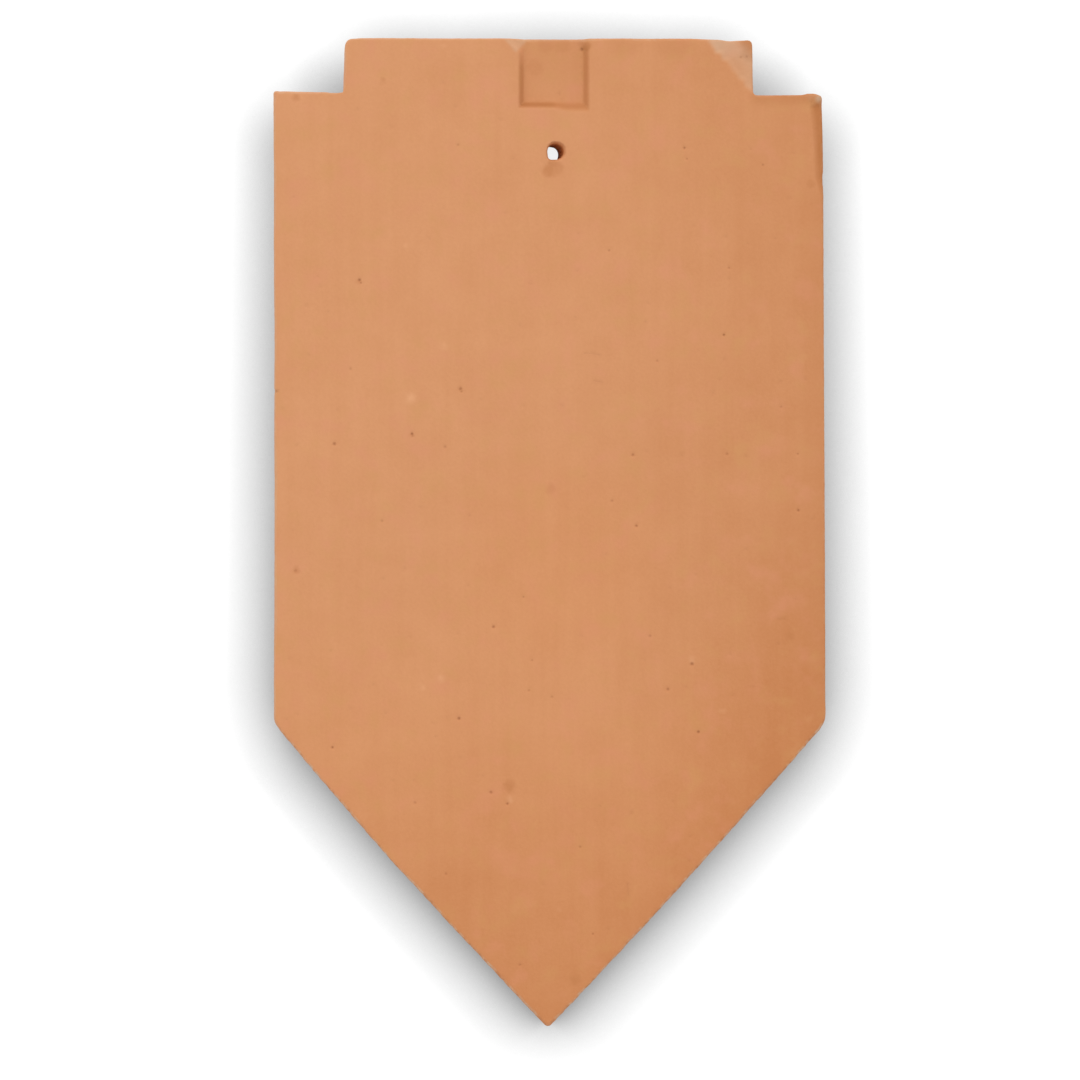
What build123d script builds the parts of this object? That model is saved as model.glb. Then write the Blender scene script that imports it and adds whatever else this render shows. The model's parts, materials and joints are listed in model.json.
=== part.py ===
from build123d import *
from math import asin, atan2, cos, degrees, hypot, tan
import os

# Clay plain roof tile with a shouldered head and a pointed tail, pressed and fired in one piece.
# It is drawn flat: X runs across the tile, Y up the roof slope with zero at the head edge,
# and Z out of the weather face with zero on the back. It is then laid down the way it lies
# unheld on a floor, on the foot of its nib and the point of its tail. Lengths in millimetres.

# Slab, measured to the sharp corners of its outline
tile_width = 165.0
tile_length = 296.5
tile_thickness = 12.0
front_arris_radius = 0.9

# Head, narrowed by a square shoulder on each side
head_width = 122.4
shoulder_depth = 16.5
head_corner_radius = 1.8
notch_radius = 1.5
shoulder_corner_radius = 1.8

# Tail, two slightly bowed edges that meet in a blunted point
tail_height = 91.2
tail_bow = 0.9
tail_corner_radius = 5.0
tail_tip_radius = 1.9

# Punch mark in the face, a little to the right of the centre line and open at the head edge
punch_offset = 1.5
mark_width = 21.5
mark_length = 20.8
mark_depth = 2.2
mark_wall_run = 1.8

# Nib that the same punch pushes out of the back, where the tile hooks over its batten
nib_width = 22.0
nib_length = 20.8
nib_height = 10.0
nib_flank_draw = 1.6
nib_bearing_draw = 0.7
nib_corner_radius = 2.0
nib_foot_radius = 1.5
nib_root_radius = 2.0

# Nail hole, pierced from the face and drifting to the left on its way through
hole_diameter = 5.4
hole_offset = 2.2
hole_from_head = 33.5
hole_drift = 2.4
hole_mouth_radius = 0.4

# How far a cutting shape runs past the surface that it opens
cut_overrun = 5.0

tile_half = tile_width / 2
head_half = head_width / 2
tail_corner_y = tail_height - tile_length
nib_root_y = -nib_length

bearing_lean = atan2(nib_bearing_draw, nib_height)
flank_lean = atan2(nib_flank_draw, nib_height)
mark_lean = atan2(mark_wall_run, mark_depth)

# Nib by itself: square at the head edge, drawn in towards its foot on the other three sides
with BuildPart() as nib:
    with BuildSketch():
        with Locations((punch_offset, 0)):
            Rectangle(nib_width, nib_length, align=(Align.CENTER, Align.MAX))
    extrude(amount=-nib_height)
    draft(nib.faces().filter_by(Axis.X), Plane.XY, -degrees(flank_lean))
    draft(nib.faces().sort_by(Axis.Y)[0], Plane.XY, -degrees(bearing_lean))
    bearing_face = nib.faces().sort_by(Axis.Y)[0]
    fillet(bearing_face.edges().filter_by(Axis.X, reverse=True), nib_corner_radius)
    fillet(nib.faces().sort_by(Axis.Z)[0].edges(), nib_foot_radius)

# Nose of the punch that presses the mark, sloping in on the same three sides
with BuildPart() as punch:
    with BuildSketch(Plane.XY.offset(tile_thickness - mark_depth)):
        with Locations((punch_offset, cut_overrun)):
            Rectangle(mark_width, mark_length + cut_overrun, align=(Align.CENTER, Align.MAX))
    extrude(amount=mark_depth + cut_overrun)
    sloping_sides = punch.faces().filter_by(Axis.X) + punch.faces().sort_by(Axis.Y)[:1]
    draft(sloping_sides, Plane.XY.offset(tile_thickness), -degrees(mark_lean))

with BuildPart() as flat_tile:
    # Slab, cut to its outline
    with BuildSketch():
        with BuildLine():
            FilletPolyline(
                (-tile_half, tail_corner_y),
                (-tile_half, -shoulder_depth),
                (-head_half, -shoulder_depth),
                (-head_half, 0),
                (head_half, 0),
                (head_half, -shoulder_depth),
                (tile_half, -shoulder_depth),
                (tile_half, tail_corner_y),
                radius=[
                    shoulder_corner_radius,
                    notch_radius,
                    head_corner_radius,
                    head_corner_radius,
                    notch_radius,
                    shoulder_corner_radius,
                ],
            )
            SagittaArc((tile_half, tail_corner_y), (0, -tile_length), tail_bow)
            SagittaArc((0, -tile_length), (-tile_half, tail_corner_y), tail_bow)
        make_face()
        fillet(vertices().group_by(Axis.Y)[1], tail_corner_radius)
        fillet(vertices().group_by(Axis.Y)[0], tail_tip_radius)
    extrude(amount=tile_thickness)
    fillet(flat_tile.edges().group_by(Axis.Z)[-1], front_arris_radius)

    # Punch mark
    add(punch.part, mode=Mode.SUBTRACT)

    # Nib, run into the back by a fillet along its two flanks and its bearing face
    add(nib.part)
    back_face = flat_tile.faces().filter_by(Axis.Z).sort_by(Axis.Z)[1]
    root_reach = nib_width / 2 + nib_root_radius
    root_edges = back_face.edges().filter_by_position(Axis.Y, nib_root_y - nib_root_radius, 0)
    fillet(
        root_edges.filter_by_position(Axis.X, punch_offset - root_reach, punch_offset + root_reach),
        nib_root_radius,
    )

    # Nail hole
    hole_axis = Vector(hole_drift, 0, tile_thickness).normalized()
    hole_start = Vector(hole_offset, -hole_from_head, tile_thickness) + hole_axis * cut_overrun
    with Locations(Plane(origin=hole_start, z_dir=hole_axis)):
        Hole(radius=hole_diameter / 2)
    fillet(flat_tile.edges(Select.LAST).sort_by(Axis.Z)[-1], hole_mouth_radius)

# Lying angle, with the rounded foot of the nib and the tip of the tail on one level
foot_drop = nib_height - nib_foot_radius
foot_y = nib_root_y + foot_drop * tan(bearing_lean) + nib_foot_radius / cos(bearing_lean)
tip_y = flat_tile.part.bounding_box().min.Y
foot_run = foot_y - tip_y
lie_angle = degrees(atan2(foot_drop, foot_run) + asin(nib_foot_radius / hypot(foot_run, foot_drop)))

# Tile as it lies, with the middle of its footprint at the origin
lying_tile = flat_tile.part.rotate(Axis.X, lie_angle)
lying_box = lying_tile.bounding_box()
with BuildPart() as roof_tile:
    with Locations((-lying_box.center().X, -lying_box.center().Y, -lying_box.min.Z)):
        add(lying_tile)

roof_tile.part.label = "roof_tile"
os.makedirs("parts", exist_ok=True)
export_step(roof_tile.part, "parts/roof_tile.step")
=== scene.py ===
import json
import math
import bpy
import numpy as np
from mathutils import Matrix, Vector
from mathutils.geometry import delaunay_2d_cdt

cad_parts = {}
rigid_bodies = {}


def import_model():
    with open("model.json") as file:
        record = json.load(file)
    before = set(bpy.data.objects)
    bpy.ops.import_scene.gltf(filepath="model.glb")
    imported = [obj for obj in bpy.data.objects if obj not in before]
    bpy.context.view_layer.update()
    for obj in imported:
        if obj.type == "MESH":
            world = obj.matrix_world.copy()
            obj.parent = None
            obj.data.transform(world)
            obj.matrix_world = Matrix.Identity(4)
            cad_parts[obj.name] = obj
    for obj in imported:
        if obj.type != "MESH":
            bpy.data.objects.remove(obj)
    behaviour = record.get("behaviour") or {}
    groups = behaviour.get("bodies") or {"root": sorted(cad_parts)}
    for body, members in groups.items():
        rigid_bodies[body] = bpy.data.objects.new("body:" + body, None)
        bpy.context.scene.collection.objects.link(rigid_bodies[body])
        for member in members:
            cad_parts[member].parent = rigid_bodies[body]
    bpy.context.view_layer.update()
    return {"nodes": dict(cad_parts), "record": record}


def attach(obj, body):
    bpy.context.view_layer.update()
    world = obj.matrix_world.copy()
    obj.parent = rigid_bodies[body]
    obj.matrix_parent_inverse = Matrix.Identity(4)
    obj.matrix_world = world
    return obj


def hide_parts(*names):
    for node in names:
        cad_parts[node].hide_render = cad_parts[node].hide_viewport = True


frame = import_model()
print("frame loaded:", ", ".join(frame["nodes"]))

# Tile lengths are millimetres in the tile's own frame: x to the right, y towards the head with 0 at the
# head edge, z out of the weather face with 0 on the back. The row frame of the model is in metres.
millimetre = 0.001
slab = {
    "length": 296.5,      # head edge to the sharp point of the tail
    "frontRound": 0.75,   # arris round the face
    "roundSway": 0.25,    # how much that arris varies, and over what length
    "swayLength": 9,
    "tailChips": 0.15,    # extra arris where the tail edges crumble, and how long a chip is
    "chipLength": 1.3,
    "backRound": 0.5,
    "arrisRows": 5,
    "wallRows": 10,
    "dragMarks": 0.05,    # vertical marks of the cutter on the walls, fine and wide
    "dragLengths": (2.0, 11),
    "uneven": 0.03,       # unevenness of the walls between those marks
    "unevenLength": 5,
    "faceStep": 1.15,     # spacing of the points of the face, the back and the small shapes
    "backStep": 2.2,
    "fineStep": 0.42,
    "seed": 41,
}

mounts = {mount["name"]: mount for mount in frame["record"]["mounts"]}
facePoint = Vector(mounts["weather_face"]["pos_m"])
backPoint = Vector(mounts["underside"]["pos_m"])
tileUp = Vector(mounts["weather_face"]["axis"]).normalized()
tileRight = Vector((1, 0, 0))
tileHead = tileUp.cross(tileRight)
headMiddle = backPoint + tileHead * (slab["length"] / 2 * millimetre)
thickness = (facePoint - backPoint).dot(tileUp) / millimetre
tileAxes = np.array((tileRight, tileHead, tileUp))


def toRow(points):
    return np.asarray(points, float) * millimetre @ tileAxes + np.array(headMiddle)


# where the tile lies in the photograph, so that small marks can be placed by what was read off it
photo = {"axisPixel": 548.9, "headPixel": 38.4, "pixelSize": 0.29946, "middlePixel": 540, "pixels": 1080}


def fromPhoto(pixelX, pixelY):
    x = (pixelX - photo["axisPixel"]) * photo["pixelSize"]
    y = (photo["headPixel"] - pixelY) * photo["pixelSize"]
    return x, y


def smooth(low, high, value):
    share = np.clip((value - low) / (high - low), 0, 1)
    return share * share * (3 - 2 * share)


# seeded noise between -1 and 1 that closes on itself round the outline
def ripple(along, total, wavelength, seed):
    knots = max(3, round(total / wavelength))
    values = np.random.default_rng(seed).uniform(-1, 1, knots)
    place = along / total * knots
    low = np.floor(place).astype(int)
    share = smooth(0, 1, place - low)
    return values[low % knots] * (1 - share) + values[(low + 1) % knots] * share


# one small class for node trees: it wraps a socket, and sums on it add Math nodes
class Wire:
    def __init__(self, tree, socket=None):
        self.tree = tree
        self.socket = socket

    def node(self, kind, settings=None, sockets=None, output=0):
        made = self.tree.nodes.new(kind)
        for name, value in (settings or {}).items():
            setattr(made, name, value)
        for key, value in (sockets or {}).items():
            if isinstance(value, Wire):
                self.tree.links.new(value.socket, made.inputs[key])
            else:
                made.inputs[key].default_value = value
        return Wire(self.tree, made.outputs[output] if made.outputs else None)

    def out(self, name):
        return Wire(self.tree, self.socket.node.outputs[name])

    def sum(self, operation, first, second=0.0):
        return self.node("ShaderNodeMath", {"operation": operation}, {0: first, 1: second})

    def __add__(self, other):
        return self.sum("ADD", self, other)

    def __radd__(self, other):
        return self.sum("ADD", other, self)

    def __sub__(self, other):
        return self.sum("SUBTRACT", self, other)

    def __rsub__(self, other):
        return self.sum("SUBTRACT", other, self)

    def __mul__(self, other):
        return self.sum("MULTIPLY", self, other)

    def __rmul__(self, other):
        return self.sum("MULTIPLY", other, self)

    def __truediv__(self, other):
        return self.sum("DIVIDE", self, other)

    def __rtruediv__(self, other):
        return self.sum("DIVIDE", other, self)

    def above(self, low, high):
        sockets = {"Value": self, "From Min": low, "From Max": high}
        return self.node("ShaderNodeMapRange", {"interpolation_type": "SMOOTHSTEP"}, sockets)

    def blend(self, factor, first, second, mode="MIX"):
        sockets = {0: factor, 6: first, 7: second}
        return self.node("ShaderNodeMix", {"data_type": "RGBA", "blend_type": mode}, sockets, 2)


# Outline, anticlockwise. Each corner: x, y, how far its rounding reaches, bow of the edge that follows
# and how far that bow is shifted to its start.
outline = {
    "corners": (
        (-0.3, -296.6, 2.1, 0.78, 0.0),     # point of the tail
        (82.95, -204.9, 3.0, 0.0, 0.0),     # right tail corner
        (82.2, -33.0, 12.0, 0.0, 0.0),      # right edge leans in towards its shoulder
        (81.8, -16.9, 1.4, 0.0, 0.0),       # right shoulder
        (61.2, -16.95, 1.3, 0.0, 0.0),
        (61.0, 0.1, 1.9, 0.0, 0.0),         # right end of the head
        (-61.1, 0.1, 2.4, 0.0, 0.0),
        (-61.6, -16.2, 0.5, 0.0, 0.0),
        (-82.5, -15.72, 1.0, 0.0, 0.0),     # left shoulder
        (-82.2, -120.0, 40.0, 0.0, 0.0),
        (-82.3, -204.9, 1.6, 1.3, 0.4),     # left tail corner
    ),
    "nicks": (                          # x, y, half length, depth into the edge, below zero for a burr
        (56.2, 0.1, 6.0, 0.5),
        (50.0, 0.1, 9.0, 0.18),
        (-59.8, 0.1, 4.0, 0.2),
        (78.5, -16.9, 2.6, -0.45),
        (82.3, -42.2, 2.8, 0.22),
        (-82.2, -105.6, 0.9, 0.12),
        (-64.5, -16.0, 2.5, 0.15),
    ),
    "walkStep": 0.1,
    "edgeStep": 0.9,
    "tailStep": 0.4,
    "cornerStep": 0.3,
    "punchStep": 0.22,         # beside the walls of the punch mark, and how far to each side of them
    "punchReach": 3.4,
    "turnStep": 0.2,           # spacing times how sharply the edge turns
    "wobble": 0.07,
    "wobbleLength": 24.0,
    "crumble": 0.1,            # along the tail, and the share of it elsewhere
    "crumbleElsewhere": 0.35,
    "crumbleLength": 1.1,
}
punchMark = {
    "middle": 1.53,
    "width": 21.7,
    "length": 21.1,
    "depth": 2.2,
    "leftRun": 2.2,      # width of each sloping wall
    "rightRun": 2.5,
    "tailRun": 2.8,
    "tailSag": 1.0,      # how much wider the right half of the tail wall is
    "leftFlare": 4.5,    # how far the side walls open out at the head edge, and how far down
    "rightFlare": 0.8,
    "flareLength": 4.2,
    "flareRun": 2.0,
}
nib = {
    "width": 22.0,
    "length": 20.8,
    "height": 10.0,
    "flankDraw": 1.6,
    "bearingDraw": 0.7,
    "rootRound": 2.0,
    "footRound": 1.5,
    "cornerRound": 2.0,
}
nailHole = {
    "x": 2.2,
    "y": -33.75,
    "radius": 2.45,
    "mouthRound": 0.5,
    "backBurst": 0.6,    # where the piercer broke through the back
    "driftX": -2.0,      # how far it wanders on its way to the back
    "driftY": 0.2,
    "chip": 0.55,        # broken out of the mouth on the lower left
    "chipTurn": 3.95,    # in radians
    "chipSpread": 0.4,
    "chipDepths": (0.75, 0.25),    # shares of the bore's depth where the chip ends and where it is whole
    "mouthDepth": 0.07,            # shares where the mouth's round ends and where the burst starts
    "burstDepth": 0.93,
    "sides": 56,
    "rows": 14,
    "rough": 0.07,
}
damage = {
    "spallStart": fromPhoto(705, 42),     # line that the flaked corner of the head starts at
    "spallEnd": fromPhoto(750, 92),
    "spallJag": 0.45,
    "spallDrop": 0.5,
    "spallRun": 2.6,
    "spallTilt": 0.06,                    # further drop towards the corner
    "spallTiltFrom": 3,
    "bevelDown": (16.8, 20.5, 25, 42, 47, 60),  # worn strip down the right edge below its shoulder
    "bevelWidths": (0, 4.0, 3.4, 2.8, 1.3, 0),
    "bevelSlope": 0.35,
    "rightEdgeDown": (17, 33, 205),       # the edge that the strip is measured from
    "rightEdgeAt": (81.75, 82.2, 83.05),
    "burrSpot": fromPhoto(812, 97),
    "burrRise": 0.25,
    "burrSize": 2.2,
    "thumbSpot": fromPhoto(550, 168),     # dull dent below the nail hole
    "thumbSize": 3.4,
    "thumbDepth": 0.22,
}


def markWalls(x, y):
    flare = smooth(-punchMark["flareLength"], 0, y)
    shares = []
    for side, inwards in (("left", x - punchMark["middle"]), ("right", punchMark["middle"] - x)):
        out = punchMark[side + "Flare"] * flare
        run = punchMark[side + "Run"] + punchMark["flareRun"] * flare + out
        shares.append(smooth(0, run, inwards + punchMark["width"] / 2 + out))
    sag = punchMark["tailSag"] * smooth(-1, 5, x - punchMark["middle"])
    shares.append(smooth(0, punchMark["tailRun"] + sag, y + punchMark["length"] + sag))
    return shares


def spallDistance(x, y):
    startX, startY = damage["spallStart"]
    endX, endY = damage["spallEnd"]
    span = math.hypot(endX - startX, endY - startY)
    along = ((x - startX) * (endX - startX) + (y - startY) * (endY - startY)) / span
    beyond = ((x - startX) * (startY - endY) + (y - startY) * (endX - startX)) / span
    return beyond + damage["spallJag"] * ripple(along % (2 * span), 2 * span, 1.5, slab["seed"] + 3)


def onHeadRight(x, y):
    return smooth(-17.4, -14.5, y) * smooth(30, 40, x)


def bevelShare(x, y):
    rightEdge = np.interp(-y, damage["rightEdgeDown"], damage["rightEdgeAt"])
    width = np.interp(-y, damage["bevelDown"], damage["bevelWidths"])
    return np.clip(width - (rightEdge - x), 0, None)


def spot(x, y, middle, size):
    return smooth(1, 0, np.hypot(x - middle[0], y - middle[1]) / size)


def faceHeight(x, y):
    left, right, tail = markWalls(x, y)
    height = thickness - punchMark["depth"] * np.minimum(np.minimum(left, right), tail)
    beyond = spallDistance(x, y)
    flake = damage["spallDrop"] * smooth(0, damage["spallRun"], beyond)
    flake += damage["spallTilt"] * np.clip(beyond - damage["spallTiltFrom"], 0, None)
    height -= flake * onHeadRight(x, y)
    height -= damage["bevelSlope"] * bevelShare(x, y)
    height += damage["burrRise"] * spot(x, y, damage["burrSpot"], damage["burrSize"])
    height -= damage["thumbDepth"] * spot(x, y, damage["thumbSpot"], damage["thumbSize"])
    return height


# depth of a side of the nib by the distance in from its root line
def nibProfile(distance, draw):
    lean = math.atan2(draw, nib["height"])
    rootReach = nib["rootRound"] * math.tan((math.pi / 2 - lean) / 2)
    footReach = nib["footRound"] * math.tan((math.pi / 2 - lean) / 2)
    turns = np.linspace(0, math.pi / 2 - lean, 7)
    rootX = -rootReach + nib["rootRound"] * np.sin(turns)
    rootZ = nib["rootRound"] * (1 - np.cos(turns))
    footX = draw + footReach - nib["footRound"] * np.sin(turns[::-1])
    footZ = nib["height"] - nib["footRound"] * (1 - np.cos(turns[::-1]))
    return np.interp(distance, np.concatenate((rootX, footX)), np.concatenate((rootZ, footZ)))


def backHeight(x, y):
    side = nib["width"] / 2 - np.abs(x - punchMark["middle"])
    flank = nibProfile(side, nib["flankDraw"])
    bearing = nibProfile(y + nib["length"], nib["bearingDraw"])
    lower = np.minimum(flank, bearing)
    gap = np.abs(flank - bearing)
    rounding = np.clip(nib["cornerRound"] - gap, 0, None) ** 2 / nib["cornerRound"] / 4
    return -np.clip(lower - rounding, 0, None)


def edgePoints(start, end, bow, skew, shares):
    along = end - start
    outward = np.array((along[1], -along[0])) / np.hypot(*along)
    bowed = 4 * bow * shares * (1 - shares) * (1 + skew * (1 - 2 * shares))
    return start + np.outer(shares, along) + np.outer(bowed, outward)


def walkOutline():
    corners = outline["corners"]
    points = [np.array(corner[:2]) for corner in corners]
    walk = []
    for index, (_, _, reach, bow, skew) in enumerate(corners):
        start = points[index]
        end = points[(index + 1) % len(points)]
        after = points[(index + 2) % len(points)]
        _, _, endReach, endBow, endSkew = corners[(index + 1) % len(points)]
        length = np.hypot(*(end - start))
        shares = np.linspace(reach / length, 1 - endReach / length, int(length / outline["walkStep"]))
        edge = edgePoints(start, end, bow, skew, shares)
        onwards = np.array([endReach / np.hypot(*(after - end))])
        following = edgePoints(end, after, endBow, endSkew, onwards)
        turn = np.linspace(0, 1, int(3 * endReach / outline["walkStep"]) + 2)[1:-1, None]
        corner = (1 - turn) ** 2 * edge[-1] + 2 * turn * (1 - turn) * end + turn ** 2 * following[0]
        walk += [edge, corner]
    return np.concatenate(walk)


def inwardOf(points):
    along = np.roll(points, -1, 0) - np.roll(points, 1, 0)
    along /= np.linalg.norm(along, axis=1, keepdims=True)
    return np.column_stack((-along[:, 1], along[:, 0]))


def lengthsAlong(points):
    steps = np.linalg.norm(np.roll(points, -1, 0) - points, axis=1)
    return np.cumsum(steps) - steps, steps


def onTail(points):
    return smooth(-203.5, -208.0, points[:, 1])


# points along the edge, closer where it turns and where the punch mark and nib cross it
def buildOutline():
    walk = walkOutline()
    along, steps = lengthsAlong(walk)
    total = steps.sum()
    inward = inwardOf(walk)
    span = sum(np.roll(steps, shift) for shift in range(-2, 4))
    turning = np.linalg.norm(np.roll(inward, -3, 0) - np.roll(inward, 3, 0), axis=1) / span
    spacing = outline["turnStep"] / np.maximum(turning, 1e-6)
    spacing = np.clip(spacing, outline["cornerStep"], outline["edgeStep"])
    fromFlank = np.abs(np.abs(walk[:, 0] - punchMark["middle"]) - punchMark["width"] / 2)
    spacing[(walk[:, 1] > -2) & (fromFlank < outline["punchReach"])] = outline["punchStep"]
    spacing = np.where(onTail(walk) > 0, np.minimum(spacing, outline["tailStep"]), spacing)
    depth = outline["wobble"] * ripple(along, total, outline["wobbleLength"], slab["seed"])
    crumbs = ripple(along, total, outline["crumbleLength"], slab["seed"] + 1)
    elsewhere = outline["crumbleElsewhere"]
    depth += outline["crumble"] * crumbs * (elsewhere + (1 - elsewhere) * onTail(walk))
    for x, y, half, nick in outline["nicks"]:
        nearest = along[np.argmin(np.hypot(walk[:, 0] - x, walk[:, 1] - y))]
        depth += nick * smooth(half, half * 0.35, np.abs(along - nearest))
        spacing[np.abs(along - nearest) < half] = np.minimum(half / 3, outline["edgeStep"])
    walk = walk + inward * depth[:, None]
    counted = np.cumsum(steps / spacing) - steps / spacing
    wanted = np.linspace(0, counted[-1], int(counted[-1]), endpoint=False)
    place = np.interp(wanted, counted, along)

    def taken(columns):
        return np.column_stack([np.interp(place, along, column) for column in columns.T])

    inward = taken(inward)
    tightest = np.max([np.roll(turning, shift) for shift in range(-12, 13, 3)], 0)
    limit = np.interp(place, along, 0.6 / np.maximum(tightest, 1e-6))
    return taken(walk), inward / np.linalg.norm(inward, axis=1, keepdims=True), limit


def loopDistance(points, loop):
    return np.hypot(points[:, None, 0] - loop[:, 0], points[:, None, 1] - loop[:, 1]).min(1)


# points that lie inside a loop by at least the clearance
def insideBy(points, loop, clearance):
    inside = np.zeros(len(points), bool)
    nearest = np.full(len(points), np.inf)
    x, y = points.T
    for (startX, startY), (endX, endY) in zip(loop, np.roll(loop, -1, 0)):
        alongX, alongY = endX - startX, endY - startY
        share = ((x - startX) * alongX + (y - startY) * alongY) / (alongX ** 2 + alongY ** 2)
        share = np.clip(share, 0, 1)
        reached = np.hypot(x - startX - share * alongX, y - startY - share * alongY)
        nearest = np.minimum(nearest, reached)
        if alongY:
            crosses = (y >= min(startY, endY)) & (y < max(startY, endY))
            inside ^= crosses & (x < startX + (y - startY) / alongY * alongX)
    return inside & (nearest > clearance)


def hexGrid(step, low, high, random):
    rows = np.arange(low[1], high[1], step * math.sqrt(0.75))
    columns = np.arange(low[0], high[0], step)
    x, y = np.meshgrid(columns, rows)
    x[1::2] += step / 2
    points = np.column_stack((x.ravel(), y.ravel()))
    return points + random.uniform(-0.2, 0.2, points.shape) * step


def circle(x, y, radius, sides):
    turn = np.linspace(0, 2 * math.pi, sides, endpoint=False)
    return np.column_stack((x + radius * np.cos(turn), y + radius * np.sin(turn)))


# triangles between an outer loop, the nail hole's loop and the points between them
def fillCap(outer, hole, inner):
    points = np.concatenate((outer, hole, inner))
    edges = [(i, (i + 1) % len(outer)) for i in range(len(outer))]
    edges += [(len(outer) + i, len(outer) + (i + 1) % len(hole)) for i in range(len(hole))]
    made = delaunay_2d_cdt([Vector(point) for point in points], edges, [], 1, 1e-7)
    source = np.array([names[0] for names in made[3]])
    triangles = source[np.array(made[2])]
    middles = points[triangles].mean(1)
    triangles = triangles[~insideBy(middles, hole, 0)]
    a, b, c = (points[triangles[:, k]] for k in range(3))
    turned = (b[:, 0] - a[:, 0]) * (c[:, 1] - a[:, 1]) - (b[:, 1] - a[:, 1]) * (c[:, 0] - a[:, 0]) < 0
    triangles[turned] = triangles[turned][:, ::-1]
    return triangles


# Pinholes of the face, by their place in the photograph, and a seeded sprinkle of smaller pores
pinholes = {
    "clearSpots": (
        (359.5, 280), (460.5, 389), (412, 434), (724, 335), (334.5, 444), (636.5, 526), (798.5, 510.5),
        (493.5, 627), (692, 664), (459, 718.5), (507.5, 804), (668, 689.5), (332.5, 747.5), (698.5, 732),
        (582, 48.5), (276, 391.5), (684.5, 148), (491, 792.5), (633, 455),
    ),
    "faintSpots": (
        (458, 145), (729, 268), (609, 250.5), (580, 847), (798, 454), (763, 165), (520, 965), (687, 159),
        (657, 361), (350.5, 369), (445, 447), (382, 521), (295.5, 571), (532, 660.5), (529, 690.5),
        (415, 803), (446, 874), (727, 454), (523.5, 597), (650, 636), (781, 407), (593, 934), (552, 697), (612, 501),
        (741, 57), (747, 56.5), (361, 283), (461.5, 391.5), (412.5, 436),
    ),
    "clearReach": 0.72,
    "clearDepth": 0.3,
    "clearDark": 0.44,
    "faintReach": 0.62,
    "faintDepth": 0.15,
    "faintDark": 0.24,
    "scratchTurns": (     # turns of each hairline
        ((584.5, 353.4), (592, 353.6), (600.5, 355.3)),
        ((594, 380.8), (603, 382.4)),
        ((778, 619), (786, 619.4)),
        ((627.5, 884), (628.5, 896)),
    ),
    "scratchReach": 0.34,
    "scratchDepth": 0.05,
    "scratchDark": 0.13,
    "scratchStep": 0.25,
    "pores": 110,
    "poreReach": (0.3, 0.6),
    "poreDepth": 0.1,
    "poreDark": (0.03, 0.13),
    "poreSpans": ((-82, 82), (-295, -2)),
    "poreGap": 3,              # from other marks, and from the nail hole
    "poreFromHole": 8,
    "holeRings": ((0.3, 5), (0.6, 8), (0.95, 10)),    # share of the reach and points of each ring
    "poreRings": ((0.6, 7),),
    "seed": 7,
}


# rows of x, y, reach, depth and darkness, the darkness being painted shade in the pit
def placePinholes(outer):
    random = np.random.default_rng(pinholes["seed"])
    rows = []
    for kind in ("clear", "faint"):
        for pixel in pinholes[kind + "Spots"]:
            reach = pinholes[kind + "Reach"] * random.uniform(0.8, 1.2)
            dark = pinholes[kind + "Dark"] * random.uniform(0.75, 1.2)
            rows.append((*fromPhoto(*pixel), reach, pinholes[kind + "Depth"], dark))
    scratch = (pinholes["scratchReach"], pinholes["scratchDepth"], pinholes["scratchDark"])
    for pixels in pinholes["scratchTurns"]:
        for start, end in zip(pixels, pixels[1:]):
            start, end = np.array(fromPhoto(*start)), np.array(fromPhoto(*end))
            count = int(np.hypot(*(end - start)) / pinholes["scratchStep"])
            for x, y in start + np.outer(np.arange(count) / count, end - start):
                rows.append((x, y, *scratch))
    seen = len(rows)
    while len(rows) < seen + pinholes["pores"]:
        x, y = (random.uniform(*span) for span in pinholes["poreSpans"])
        reach = random.uniform(*pinholes["poreReach"])
        dark = random.uniform(*pinholes["poreDark"])
        apart = all(math.hypot(x - row[0], y - row[1]) > pinholes["poreGap"] for row in rows)
        if apart and math.hypot(x - nailHole["x"], y - nailHole["y"]) > pinholes["poreFromHole"]:
            rows.append((x, y, reach, pinholes["poreDepth"], dark))
    rows = np.array(rows)
    return rows[(np.arange(len(rows)) < seen) | insideBy(rows[:, :2], outer, 1.0)]


def fineZone(x, y):
    left, right, tail = markWalls(x, y)
    mark = np.minimum(np.minimum(left, right), tail)
    half = punchMark["width"] / 2
    reach = half + 1 + punchMark["leftFlare"] * smooth(-punchMark["flareLength"], 0, y)
    nearMark = (np.abs(x - punchMark["middle"]) < reach) & (y > -punchMark["length"] - 2) & (mark < 0.999)
    nearHole = np.hypot(x - nailHole["x"], y - nailHole["y"]) < nailHole["radius"] + 3
    beyond = spallDistance(x, y)
    nearSpall = (np.abs(beyond - 1.5) < 2.5) & (y > -18) & (x > 40)
    nearBevel = (y < -14) & (y > -damage["bevelDown"][-1]) & (x > 76.5)
    return nearMark | nearHole | nearSpall | nearBevel


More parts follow.
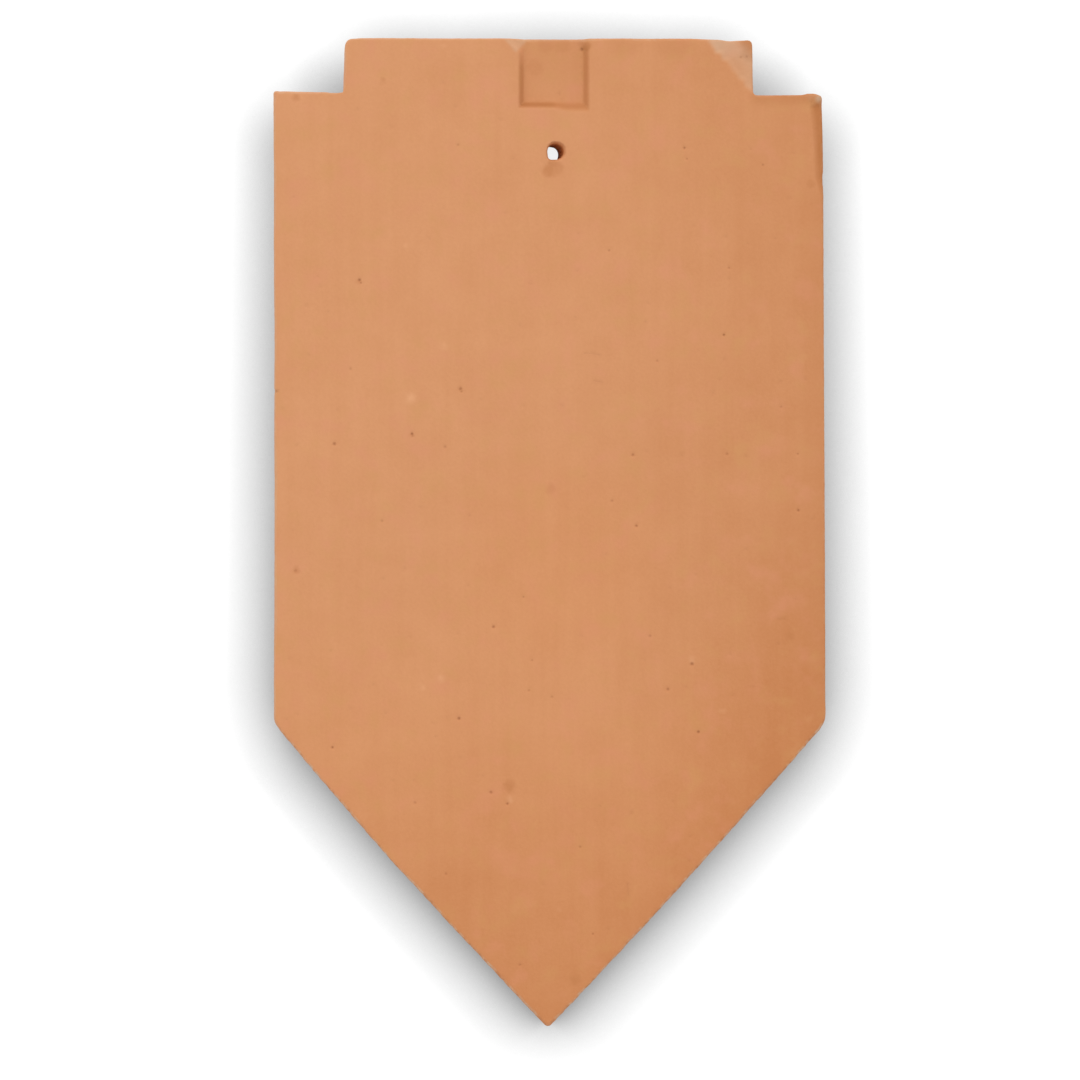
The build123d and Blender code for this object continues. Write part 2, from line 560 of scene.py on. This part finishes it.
def facePoints(outer, hole, marks):
    random = np.random.default_rng(slab["seed"])
    low, high = outer.min(0), outer.max(0)
    coarse = hexGrid(slab["faceStep"], low, high, random)
    coarse = coarse[~fineZone(*coarse.T)]
    fine = hexGrid(slab["fineStep"], low, high, random)
    fine = fine[fineZone(*fine.T)]
    coarse = coarse[insideBy(coarse, outer, 0.45)]
    fine = fine[insideBy(fine, outer, 0.2)]
    points = np.concatenate((coarse, fine))
    points = points[~insideBy(points, hole, 0) & (loopDistance(points, hole) > 0.2)]
    rings = []
    for x, y, reach, depth, _ in marks[insideBy(marks[:, :2], outer, 1.0)]:
        points = points[np.hypot(points[:, 0] - x, points[:, 1] - y) > reach * 1.5]
        rings.append(np.array([(x, y)]))
        around = pinholes["holeRings"] if depth > pinholes["poreDepth"] else pinholes["poreRings"]
        for share, sides in around:
            rings.append(circle(x, y, reach * share, sides))
    rings = np.concatenate(rings)
    apart = [True]
    for index in range(1, len(rings)):
        apart.append(np.hypot(*(rings[:index] - rings[index]).T).min() > 0.12)
    return np.concatenate((points, rings[apart]))


def backPoints(outer, hole):
    random = np.random.default_rng(slab["seed"] + 5)
    points = hexGrid(slab["backStep"], outer.min(0), outer.max(0), random)
    reach = nib["width"] / 2 + nib["rootRound"]
    beside = np.abs(points[:, 0] - punchMark["middle"]) < reach
    aroundNib = beside & (points[:, 1] > -nib["length"] - nib["rootRound"])
    points = points[insideBy(points, outer, 0.9) & ~aroundNib]
    holeX, holeY = hole.mean(0)
    points = points[np.hypot(points[:, 0] - holeX, points[:, 1] - holeY) > nailHole["radius"] + 1.6]
    # rows that follow the nib's three sides down to its foot
    rows = []
    for share in (-1.9, -1.3, -0.7, -0.3, -0.08, 0.08, 0.3, 0.6, 0.9, 1.0):
        flankIn = share if share < 0 else share * nib["flankDraw"]
        bearingIn = share if share < 0 else share * nib["bearingDraw"]
        rows.append((flankIn, bearingIn))
    for further in (0.3, 0.7, 1.3, 2.2, 3.6, 5.4):
        rows.append((nib["flankDraw"] + further, nib["bearingDraw"] + further))
    around = []
    for flankIn, bearingIn in rows:
        right = nib["width"] / 2 - flankIn
        tail = -nib["length"] + bearingIn
        downs = np.linspace(-2.3, tail, 16)
        acrosses = np.linspace(-right, right, 19)[1:-1]
        for side in (-right, right):
            around.append(np.column_stack((np.full(16, punchMark["middle"] + side), downs)))
        around.append(np.column_stack((punchMark["middle"] + acrosses, np.full(17, tail))))
    foot = hexGrid(1.6, np.array((-2.0, -13.0)), np.array((5.0, -3.0)), random)
    return np.concatenate([points, foot] + around)


def holeRings():
    rings = []
    turn = np.linspace(0, 2 * math.pi, nailHole["sides"], endpoint=False)
    mouth, burst = nailHole["mouthDepth"], nailHole["burstDepth"]
    depths = np.concatenate(((0, 0.02, mouth), np.linspace(2 * mouth, burst, nailHole["rows"]), (0.97, 1.0)))
    for number, depth in enumerate(depths):
        wide = nailHole["mouthRound"] * (1 - smooth(0, mouth, depth))
        wide += nailHole["backBurst"] * smooth(burst, 1, depth)
        rough = ripple(turn, 2 * math.pi, 0.5, 300) + 0.6 * ripple(turn, 2 * math.pi, 0.35, 310 + number)
        chip = np.exp(-((turn - nailHole["chipTurn"]) / nailHole["chipSpread"]) ** 2)
        chip *= smooth(*nailHole["chipDepths"], depth)
        radius = nailHole["radius"] + wide + nailHole["rough"] * rough + nailHole["chip"] * chip
        x = nailHole["x"] + nailHole["driftX"] * depth + radius * np.cos(turn)
        y = nailHole["y"] + nailHole["driftY"] * depth + radius * np.sin(turn)
        top, bottom = faceHeight(x, y), backHeight(x, y)
        rings.append(np.column_stack((x, y, top + (bottom - top) * depth)))
    return rings


def wallRings(edge, inward, limit):
    along, steps = lengthsAlong(edge)
    total = steps.sum()
    seed = slab["seed"]
    tail = onTail(edge)
    front = slab["frontRound"] + slab["roundSway"] * ripple(along, total, slab["swayLength"], seed + 10)
    front += slab["tailChips"] * tail * np.clip(ripple(along, total, slab["chipLength"], seed + 11), 0, 1)
    front = np.minimum(front, limit)
    onNib = smooth(0, nib["height"], -backHeight(*edge.T))
    back = slab["backRound"] + (nib["footRound"] - slab["backRound"]) * onNib
    fine, wide = slab["dragLengths"]
    drag = slab["dragMarks"] * (ripple(along, total, fine, seed + 12) + ripple(along, total, wide, seed + 13))
    rings = []

    def addRing(offset, height):
        place = edge + inward * offset[:, None]
        rings.append(np.column_stack((place, height(*place.T))))

    for turn in np.linspace(0, math.pi / 2, slab["arrisRows"]):
        addRing(front * (1 - math.sin(turn)), lambda x, y: faceHeight(x, y) - front * (1 - math.cos(turn)))
    top = rings[-1][:, 2]
    bottom = backHeight(*edge.T) + back
    for share in np.linspace(0, 1, slab["wallRows"] + 2)[1:-1]:
        uneven = slab["uneven"] * ripple(along, total, slab["unevenLength"], seed + 20 + round(share * 40))
        depth = (drag + uneven) * math.sqrt(math.sin(math.pi * share))
        addRing(depth, lambda x, y: top + (bottom - top) * share)
    for turn in np.linspace(math.pi / 2, 0, slab["arrisRows"] - 1):
        addRing(back * (1 - math.sin(turn)), lambda x, y: backHeight(x, y) + back * (1 - math.cos(turn)))
    return rings


# quads between rings that follow each other, turned outwards or inwards
def bandFaces(indices, inwards):
    quads = []
    for upper, lower in zip(indices, indices[1:]):
        quad = np.column_stack((upper, lower, np.roll(lower, -1), np.roll(upper, -1)))
        quads.append(quad[:, ::-1] if inwards else quad)
    return np.concatenate(quads)


# Colour marks of the face that follow its shapes, some of them painted shade or painted highlight, as shares from 0
# to 1 for the shader
tones = {
    "paleSpots": (      # place in the photograph, size and share of each pale spot
        (442, 46, 1.0, 0.65), (407, 246, 1.2, 0.65), (444, 346, 1.5, 0.65), (411, 398, 2.4, 0.95),
        (441, 678, 1.7, 0.75), (423, 687, 1.4, 0.6), (722, 711, 1.0, 0.55), (559, 909, 1.0, 0.6),
        (692, 660, 1.5, 0.65), (510, 800, 1.4, 0.65),
    ),
    "brownSpots": (     # the same for brown blotches
        (551, 489, 2.4, 0.3), (509, 786, 2.7, 0.62), (790, 636, 2.2, 0.35), (575, 980, 2.6, 0.45),
        (748, 44, 3.5, 0.95), (748, 55, 2.8, 0.8), (587, 46, 2.0, 0.5), (382, 81, 1.1, 0.45),
        (553, 163, 2.4, 0.6), (549, 171, 3.0, 0.65), (557, 168, 3.0, 0.45), (296, 97, 1.6, 0.4),
        (296, 571, 1.2, 0.4), (535, 66, 4.4, 0.4), (546, 44, 4.4, 0.42), (563, 44, 4.4, 0.42),
        (359, 282, 1.2, 0.35), (461, 390, 1.0, 0.35), (412, 435, 1.0, 0.35), (672, 40, 9.0, 0.2),
        (625, 40, 8.0, 0.15), (806, 97, 1.7, 0.55), (812, 98.5, 1.2, 0.6), (811, 184, 2.2, 0.35),
    ),
    "spallChalk": 0.5,
    "wedgeChalk": 0.4,
    "wedgeMiddle": -9.9,
    "wedgeTip": -4.9,
    "burrSpots": ((819, 98.5, 1.9, 0.6), (811, 95.5, 2.6, 0.12)),
    # painted highlight along the arris of the head and sides
    "arrisHighlight": 0.25,
    "tailChalk": 0.22,
    "tailSpecks": 0.55,
    "speckFade": (1.0, 0.9, 0.45, 0.1),    # from the face to the wall
    # painted shade on the bevel down the right edge
    "bevelShadeBrown": 1.0,
    "rimBrown": 0.16,
    "shoulderBrown": 0.55,
    "markBrown": 0.22,
    # painted shade on the walls of the punch mark, on its tail wall in brown as well
    "tailWallShadeBrown": 0.4,
    "sideWallDark": 0.78,      # side walls of the punch mark against its tail wall
    "tailWallSoft": 0.35,      # how much lighter the right half of the tail wall is
    # painted shade on the tile's walls and a little on its arris; the darker specks on the arris are crumbled clay
    "wallDark": 0.6,           # walls of the tile, and its arris between specks
    "arrisDark": 0.05,
    # painted shade inside the nail hole
    "boreShadeDepths": (0.1, 1.6),  # below the face, where the bore starts to darken and where it is dark
}


def colourShares(points, edge, arris, bore):
    x, y, z = points.T
    front = smooth(thickness - 4.5, thickness - 3, z)
    left, right, tail = markWalls(x, y)
    inside = np.minimum(np.minimum(left, right), tail)
    steep = np.sqrt(4 * inside * (1 - inside))
    # painted shade on the punch mark's walls, which fades out at the head edge and is softer on the right half of
    # the tail wall
    fading = np.where(left < right, smooth(-3.5, -10, y), 0.3 + 0.7 * smooth(-0.5, -4, y))
    sideWall = tones["sideWallDark"] * fading
    onTailWall = tail < np.minimum(left, right)
    tailWall = 1.0 - tones["tailWallSoft"] * smooth(0.5, 2.5, x)
    creviceShade = steep * np.where(onTailWall, tailWall, sideWall)
    wedge = smooth(0, 1.2, (y - tones["wedgeTip"]) * 0.85 - np.abs(x - tones["wedgeMiddle"]))
    pale = np.zeros(len(points))
    for pixelX, pixelY, size, share in tones["paleSpots"]:
        pale = np.maximum(pale, share * spot(x, y, fromPhoto(pixelX, pixelY), size))
    beyond = spallDistance(x, y)
    flake = smooth(-0.3, 1.6, beyond) * smooth(11, 5, beyond) * (0.6 + 0.4 * smooth(-10, -2, y))
    chalkAndHighlight = tones["spallChalk"] * onHeadRight(x, y) * flake
    chalkAndHighlight = np.maximum(chalkAndHighlight, tones["wedgeChalk"] * wedge)
    for pixelX, pixelY, size, share in tones["burrSpots"]:
        chalkAndHighlight = np.maximum(chalkAndHighlight, share * spot(x, y, fromPhoto(pixelX, pixelY), size))
    brown = np.zeros(len(points))
    for pixelX, pixelY, size, share in tones["brownSpots"]:
        brown = np.maximum(brown, share * smooth(0, 0.6, spot(x, y, fromPhoto(pixelX, pixelY), size)))
    # painted shade on the bevel down the right edge, which faces away from the light
    bevelShade = np.interp(bevelShare(x, y), (0, 0.4, 1.9), (0, 0.33, 1))
    brown = np.maximum(brown, tones["bevelShadeBrown"] * bevelShade)
    brown = np.maximum(brown, tones["rimBrown"] * smooth(73, 82, x) * smooth(-30, -50, y))
    shoulder = smooth(-21.5, -17, y) * smooth(59, 63, x) * (y < -16.4)
    brown = np.maximum(brown, tones["shoulderBrown"] * shoulder)
    brown = np.maximum(brown, tones["markBrown"] * inside * (0.6 + 0.4 * smooth(-16, -6, y)))
    # painted shade: brown on the tail wall of the punch mark, which faces the light
    brown = np.maximum(brown, tones["tailWallShadeBrown"] * steep * onTailWall)
    return {
        "creviceShade": creviceShade * front,
        "pale": pale * front,
        "chalkAndHighlight": np.maximum(chalkAndHighlight * front, arris),
        "brown": brown * front,
        "edge": edge,
        "bore": bore,
    }


def buildTileMesh():
    edge, inward, limit = buildOutline()
    rings = wallRings(edge, inward, limit)
    bore = holeRings()
    faceLoop, backLoop = rings[0][:, :2], rings[-1][:, :2]
    marks = placePinholes(faceLoop)
    facing = facePoints(faceLoop, bore[0][:, :2], marks)
    backing = backPoints(backLoop, bore[-1][:, :2])
    faceTriangles = fillCap(faceLoop, bore[0][:, :2], facing)
    backTriangles = fillCap(backLoop, bore[-1][:, :2], backing)
    around, sides = len(edge), nailHole["sides"]
    parts = [rings[0], bore[0], np.column_stack((facing, faceHeight(*facing.T)))]
    parts += [rings[-1], bore[-1], np.column_stack((backing, backHeight(*backing.T)))]
    parts += rings[1:-1] + bore[1:-1]
    starts = np.cumsum([0] + [len(part) for part in parts])
    points = np.concatenate(parts)
    middleRings = [np.arange(around) + starts[6 + k] for k in range(len(rings) - 2)]
    middleBore = [np.arange(sides) + starts[4 + len(rings) + k] for k in range(len(bore) - 2)]
    ringIndices = [np.arange(around)] + middleRings + [np.arange(around) + starts[3]]
    boreIndices = [np.arange(sides) + starts[1]] + middleBore + [np.arange(sides) + starts[4]]
    quads = np.concatenate((bandFaces(ringIndices, False), bandFaces(boreIndices, True)))
    triangles = np.concatenate((faceTriangles, backTriangles[:, ::-1] + starts[3]))
    along, steps = lengthsAlong(edge)
    tail = onTail(edge)
    specks = ripple(along, steps.sum(), 1.0, slab["seed"] + 14) * (0.25 + 0.75 * tail)
    # painted highlight along the arris, brighter to the left, and pale clay on the tail's arris
    arrisHighlightAndChalk = tones["arrisHighlight"] * smooth(70, -20, edge[:, 0]) * (1 - tail) + tones["tailChalk"] * tail
    edgeShadeShare = np.zeros(len(points))
    arrisShare = np.zeros(len(points))
    # painted shade on the tile's walls, and on the arris darker specks of crumbled clay
    edgeShadeShare[starts[6]:starts[4 + len(rings)]] = tones["wallDark"]
    for ring, fade in zip(ringIndices[1:slab["arrisRows"]], tones["speckFade"]):
        edgeShadeShare[ring] = tones["arrisDark"] + tones["wallDark"] * np.clip(specks, 0, 1)
        arrisShare[ring] = (arrisHighlightAndChalk + tones["tailSpecks"] * np.clip(-specks, 0, 1)) * fade
    # painted shade, deeper down the nail hole
    boreShadeShare = np.zeros(len(points))
    shallow, deep = tones["boreShadeDepths"]
    for ring in boreIndices[:-1]:
        boreShadeShare[ring] = smooth(thickness - shallow, thickness - deep, points[ring, 2])
    mesh = bpy.data.meshes.new("roofTileVisual")
    mesh.from_pydata(toRow(points).tolist(), [], triangles.tolist() + quads.tolist())
    shares = colourShares(points, edgeShadeShare, arrisShare, boreShadeShare)
    for name, values in shares.items():
        attribute = mesh.attributes.new(name, "FLOAT", "POINT")
        attribute.data.foreach_set("value", values.astype(np.float32))
    mesh.shade_smooth()
    print("tile mesh:", len(points), "points,", len(triangles) + 2 * len(quads), "triangles")
    return mesh, marks


# Fired clay
clay = {
    "light": (0.757, 0.357, 0.172, 1),
    "deep": (0.603, 0.237, 0.090, 1),
    "pink": (0.735, 0.300, 0.165, 1),
    "ochre": (0.660, 0.325, 0.122, 1),
    "pale": (0.800, 0.393, 0.198, 1),
    "chalkAndHighlight": (0.660, 0.465, 0.318, 1),
    "brown": (0.520, 0.195, 0.066, 1),
    # darkens the punch mark's walls as painted shade
    "creviceShadeTint": (0.76, 0.70, 0.57, 1),
    # darkens the tile's walls and arris as painted shade
    "edgeShadeTint": (0.80, 0.66, 0.50, 1),
    "warmTint": (1.0, 0.965, 0.915, 1),
    "warmMiddle": (0.003, -0.010, 0.018),
    # painted shade in the pinholes, pores and hairline scratches
    "pit": (0.200, 0.062, 0.022, 1),
    # darkens the nail hole as painted shade
    "boreShadeTint": (1.0, 0.92, 0.70, 1),
    "tone": 0.645,             # between deep and light, and how much each pattern moves it
    "cloud": 0.3,
    "mottle": 0.4,
    "grain": 0.3,
    "streak": 0.22,
    "roughness": 0.9,
    "specular": 0.3,
    "bump": 0.00008,
}


def makeFiredClay():
    material = bpy.data.materials.new("firedClay")
    material.use_nodes = True
    tree = material.node_tree
    tree.nodes.clear()
    wire = Wire(tree)
    place = wire.node("ShaderNodeTexCoord", output="Object")

    def noise(scale, detail, stretch=(1, 1, 1), shift=0.0):
        sockets = {"Vector": place, "Scale": stretch, "Location": (shift, shift, shift)}
        moved = wire.node("ShaderNodeMapping", {}, sockets)
        return wire.node("ShaderNodeTexNoise", {}, {"Vector": moved, "Scale": scale, "Detail": detail}) - 0.5

    def share(name):
        return wire.node("ShaderNodeAttribute", {"attribute_name": name}, {}, "Fac")

    cloud = noise(14, 3)
    mottle = noise(85, 4, shift=3.1)
    grain = noise(1100, 3, shift=5.7)
    streak = noise(1, 3, (330, 14, 330), 1.3)
    apart = wire.node("ShaderNodeSeparateXYZ", {}, {"Vector": place})
    across, down = apart.out("X"), 0 - apart.out("Y")
    lowRight = across.above(0.02, 0.085) * down.above(-0.03, 0.05)
    # deeper to the right and towards the tail: partly painted shade where the light falls off, partly a shift of hue
    slow = across * 0.9 + across.above(-0.01, 0.1) * 0.28
    slow = slow + down.above(0.05, 0.15) * 0.42 + lowRight * 0.3
    tone = clay["tone"] - slow + cloud * clay["cloud"] + mottle * clay["mottle"]
    tone = tone + grain * clay["grain"] + streak * clay["streak"]
    color = wire.blend(tone, clay["deep"], clay["light"])
    color = wire.blend(noise(110, 3, shift=8.2).above(0.0, 0.3) * 0.5, color, clay["pink"])
    color = wire.blend(noise(130, 3, shift=11.4).above(0.0, 0.3) * 0.45, color, clay["ochre"])
    # the fire was hotter towards the tail and in a patch of the middle
    sockets = {0: place, 1: clay["warmMiddle"]}
    away = wire.node("ShaderNodeVectorMath", {"operation": "DISTANCE"}, sockets, "Value")
    warm = down.above(0.0, 0.09) + (1 - away.above(0.01, 0.045)) * 0.8
    color = wire.blend(warm, color, clay["warmTint"], "MULTIPLY")
    color = wire.blend(share("brown") * (0.85 + mottle), color, clay["brown"])
    color = wire.blend(share("pale"), color, clay["pale"])
    # pale chalk of the broken clay, and a painted highlight along the arris
    color = wire.blend(share("chalkAndHighlight") * (0.9 + 1.2 * mottle), color, clay["chalkAndHighlight"])
    # painted shade on the tile's walls and arris
    color = wire.blend(share("edge"), color, clay["edgeShadeTint"], "MULTIPLY")
    # painted shade in the punch mark's walls
    color = wire.blend(share("creviceShade"), color, clay["creviceShadeTint"], "MULTIPLY")
    # painted shade down the nail hole
    color = wire.blend(share("bore"), color, clay["boreShadeTint"], "MULTIPLY")
    # painted shade in the pinholes, pores and hairline scratches
    color = wire.blend(share("pit"), color, clay["pit"])
    rough = clay["roughness"] + 0.12 * mottle
    height = grain + 0.6 * noise(420, 2, shift=2.2)
    bumped = wire.node("ShaderNodeBump", {}, {"Strength": 0.5, "Distance": clay["bump"], "Height": height})
    surface = wire.node("ShaderNodeBsdfPrincipled", {}, {
        "Base Color": color, "Roughness": rough, "Normal": bumped, "Specular IOR Level": clay["specular"]})
    wire.node("ShaderNodeOutputMaterial", {}, {"Surface": surface})
    return material


# Geometry Nodes
def newTree(name, inputs):
    tree = bpy.data.node_groups.new(name, "GeometryNodeTree")
    tree.interface.new_socket("Geometry", in_out="INPUT", socket_type="NodeSocketGeometry")
    tree.interface.new_socket("Geometry", in_out="OUTPUT", socket_type="NodeSocketGeometry")
    for label, kind in inputs:
        tree.interface.new_socket(label, in_out="INPUT", socket_type="NodeSocket" + kind)
    return tree


# puts the tree on an object with its inputs set, and returns the result as a plain mesh
def runTree(piece, tree, values):
    modifier = piece.modifiers.new(tree.name, "NODES")
    modifier.node_group = tree
    for item in tree.interface.items_tree:
        if item.in_out == "INPUT" and item.name in values:
            modifier[item.identifier] = values[item.name]
    bpy.context.view_layer.update()
    evaluated = piece.evaluated_get(bpy.context.evaluated_depsgraph_get())
    mesh = bpy.data.meshes.new_from_object(evaluated)
    piece.modifiers.remove(modifier)
    return mesh


relief = {
    "Broad Height": 0.00022,
    "Broad Scale": 15.0,
    "Fine Height": 0.00006,
    "Fine Scale": 260.0,
    "Seed": 12.0,
}


def clayReliefTree():
    inputs = [("Pinholes", "Object"), ("Clay", "Material")] + [(name, "Float") for name in relief]
    tree = newTree("clayRelief", inputs)
    wire = Wire(tree)
    given = wire.node("NodeGroupInput")
    marks = wire.node("GeometryNodeObjectInfo", {}, {"Object": given.out("Pinholes")}, "Geometry")
    here = wire.node("GeometryNodeInputPosition")
    sockets = {"Geometry": marks, "Sample Position": here}
    nearest = wire.node("GeometryNodeSampleNearest", {"domain": "POINT"}, sockets)

    def ofNearest(value, kind):
        sockets = {"Geometry": marks, "Value": value, "Index": nearest}
        return wire.node("GeometryNodeSampleIndex", {"data_type": kind, "domain": "POINT"}, sockets)

    def named(name):
        return wire.node("GeometryNodeInputNamedAttribute", {"data_type": "FLOAT"}, {"Name": name})

    # bowl of the nearest pinhole
    there = ofNearest(here, "FLOAT_VECTOR")
    away = wire.node("ShaderNodeVectorMath", {"operation": "DISTANCE"}, {0: here, 1: there}, "Value")
    bowl = (1 - away / ofNearest(named("reach"), "FLOAT")).above(0.0, 1.0)
    dent = bowl * ofNearest(named("depth"), "FLOAT")
    # unevenness of the pressed clay
    offset = 0 - dent
    for size, seedShift in (("Broad", 0.0), ("Fine", 4.0)):
        sockets = {"W": given.out("Seed") + seedShift, "Scale": given.out(size + " Scale"), "Detail": 2.0}
        noise = wire.node("ShaderNodeTexNoise", {"noise_dimensions": "4D"}, sockets)
        offset = offset + (noise - 0.5) * given.out(size + " Height") * 2
    normal = wire.node("GeometryNodeInputNormal")
    move = wire.node("ShaderNodeVectorMath", {"operation": "SCALE"}, {0: normal, "Scale": offset})
    # painted shade in the bowl of each pinhole, pore and hairline scratch
    dark = bowl * ofNearest(named("dark"), "FLOAT")
    stored = wire.node("GeometryNodeStoreNamedAttribute", {"data_type": "FLOAT", "domain": "POINT"}, {
        "Geometry": given.out("Geometry"), "Name": "pit", "Value": dark})
    moved = wire.node("GeometryNodeSetPosition", {}, {"Geometry": stored, "Offset": move})
    real = wire.node("GeometryNodeRealizeInstances", {}, {"Geometry": moved})
    dressed = wire.node("GeometryNodeSetMaterial", {}, {"Geometry": real, "Material": given.out("Clay")})
    wire.node("NodeGroupOutput", {}, {"Geometry": dressed})
    return tree


def newPiece(name, mesh):
    piece = bpy.data.objects.new(name, mesh)
    bpy.context.scene.collection.objects.link(piece)
    return piece


def makeTile(material):
    mesh, marks = buildTileMesh()
    tile = newPiece("roofTileBody", mesh)
    spots = np.column_stack((marks[:, :2], faceHeight(*marks[:, :2].T)))
    markMesh = bpy.data.meshes.new("pinholeSpots")
    markMesh.from_pydata(toRow(spots).tolist(), [], [])
    columns = {"reach": marks[:, 2] * millimetre, "depth": marks[:, 3] * millimetre, "dark": marks[:, 4]}
    for name, values in columns.items():
        attribute = markMesh.attributes.new(name, "FLOAT", "POINT")
        attribute.data.foreach_set("value", values.astype(np.float32))
    markPiece = newPiece("pinholeSpots", markMesh)
    made = runTree(tile, clayReliefTree(), {**relief, "Pinholes": markPiece, "Clay": material})
    bpy.data.objects.remove(markPiece)
    tile.data = made
    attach(tile, "root")
    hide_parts("roof_tile")
    print("tile body:", len(made.vertices), "points after its relief")
    return tile


# Stage: white floor, camera over the face, soft light from the head side
stage = {
    "floorSize": 8.0,
    "floorColor": (0.85, 0.85, 0.85, 1),
    "floorSeen": 1.125,        # for the camera alone, so that the floor shows white and keeps the shadow
    # painted shadow: reach, lean and depth of the ambient occlusion that darkens the floor for the camera
    "shadowReach": 0.022,
    "shadowLean": 13.0,        # degrees, how far the shadow leans to the tail
    "shadowDepth": 1.5,
    # painted light: the floor under the nail hole shows white to the camera, though it lies in the tile's shadow
    "holeGlow": 0.8,           # white that shows through the nail hole
    "holeGlowSize": 0.007,
    "skyLight": 0.86,
    "skyLean": 0.4,            # how much more light comes from the head side
    "keySize": 1.5,
    "keySpot": (-0.35, 1.5, 1.6),
    "keyPower": 7.5,
    "cameraAway": 0.9,
    "sensor": 36.0,
}


def seenByCamera(wire):
    path = wire.node("ShaderNodeLightPath", output="Is Camera Ray")
    mirrored = wire.sum("MAXIMUM", path.out("Is Glossy Ray"), path.out("Is Transmission Ray"))
    return wire.sum("MAXIMUM", path, mirrored)


def makeFloor():
    half = stage["floorSize"] / 2
    mesh = bpy.data.meshes.new("floor")
    corners = [(-half, -half, 0), (half, -half, 0), (half, half, 0), (-half, half, 0)]
    mesh.from_pydata(corners, [], [(0, 1, 2, 3)])
    floor = newPiece("floor", mesh)
    material = bpy.data.materials.new("whiteFloor")
    material.use_nodes = True
    tree = material.node_tree
    tree.nodes.clear()
    wire = Wire(tree)
    matt = wire.node("ShaderNodeBsdfDiffuse", {}, {"Color": stage["floorColor"]})
    # painted soft shadow from ambient occlusion, darker on the tail side of what stands on the floor
    lean = math.radians(stage["shadowLean"])
    leaning = wire.node("ShaderNodeCombineXYZ", {}, {"Y": math.sin(lean), "Z": math.cos(lean)})
    sockets = {"Distance": stage["shadowReach"], "Normal": leaning}
    unshaded = wire.node("ShaderNodeAmbientOcclusion", {"samples": 16}, sockets, "AO")
    # painted light on the floor that the camera sees through the nail hole, which lies in the tile's shadow
    underHole = toRow([(nailHole["x"] + nailHole["driftX"], nailHole["y"] + 1, 0)])[0]
    place = wire.node("ShaderNodeTexCoord", output="Object")
    sockets = {0: place, 1: (underHole[0], underHole[1], 0)}
    away = wire.node("ShaderNodeVectorMath", {"operation": "DISTANCE"}, sockets, "Value")
    near = 1 - away.above(stage["holeGlowSize"] * 0.6, stage["holeGlowSize"])
    shade = wire.sum("POWER", unshaded, stage["shadowDepth"]) * stage["floorSeen"]
    white = wire.node("ShaderNodeEmission", {}, {"Color": shade + near * stage["holeGlow"]})
    either = wire.node("ShaderNodeMixShader", {}, {0: seenByCamera(wire), 1: matt, 2: white})
    wire.node("ShaderNodeOutputMaterial", {}, {"Surface": either})
    mesh.materials.append(material)


def makeLight():
    world = bpy.data.worlds.new("softStudio")
    bpy.context.scene.world = world
    world.use_nodes = True
    tree = world.node_tree
    tree.nodes.clear()
    wire = Wire(tree)
    seen = seenByCamera(wire)
    toSky = wire.node("ShaderNodeTexCoord", output="Generated")
    towardsHead = wire.node("ShaderNodeSeparateXYZ", {}, {"Vector": toSky}, "Y")
    strength = seen + (1 - seen) * stage["skyLight"] * (1 + stage["skyLean"] * towardsHead)
    sky = wire.node("ShaderNodeBackground", {}, {"Color": strength})
    wire.node("ShaderNodeOutputWorld", {}, {"Surface": sky})
    lamp = bpy.data.lights.new("keyLight", "AREA")
    lamp.shape = "DISK"
    lamp.size = stage["keySize"]
    lamp.energy = stage["keyPower"]
    key = newPiece("keyLight", lamp)
    key.location = stage["keySpot"]
    key.rotation_euler = (-Vector(stage["keySpot"])).to_track_quat("-Z", "Y").to_euler()


def makeCamera():
    lens = bpy.data.cameras.new("photoCamera")
    camera = newPiece("photoCamera", lens)
    middle = fromPhoto(photo["middlePixel"], photo["middlePixel"])
    aim = toRow([(*middle, thickness)])[0]
    turn = Matrix((tileRight, tileHead, tileUp)).transposed().to_4x4()
    camera.matrix_world = Matrix.Translation(Vector(aim) + tileUp * stage["cameraAway"]) @ turn
    across = photo["pixels"] * photo["pixelSize"] * millimetre
    lens.sensor_width = stage["sensor"]
    lens.lens = stage["sensor"] * stage["cameraAway"] / across
    bpy.context.scene.camera = camera


makeTile(makeFiredClay())
makeFloor()
makeLight()
makeCamera()
bpy.context.scene.view_settings.view_transform = "Standard"
print("stage, light and camera are in place")
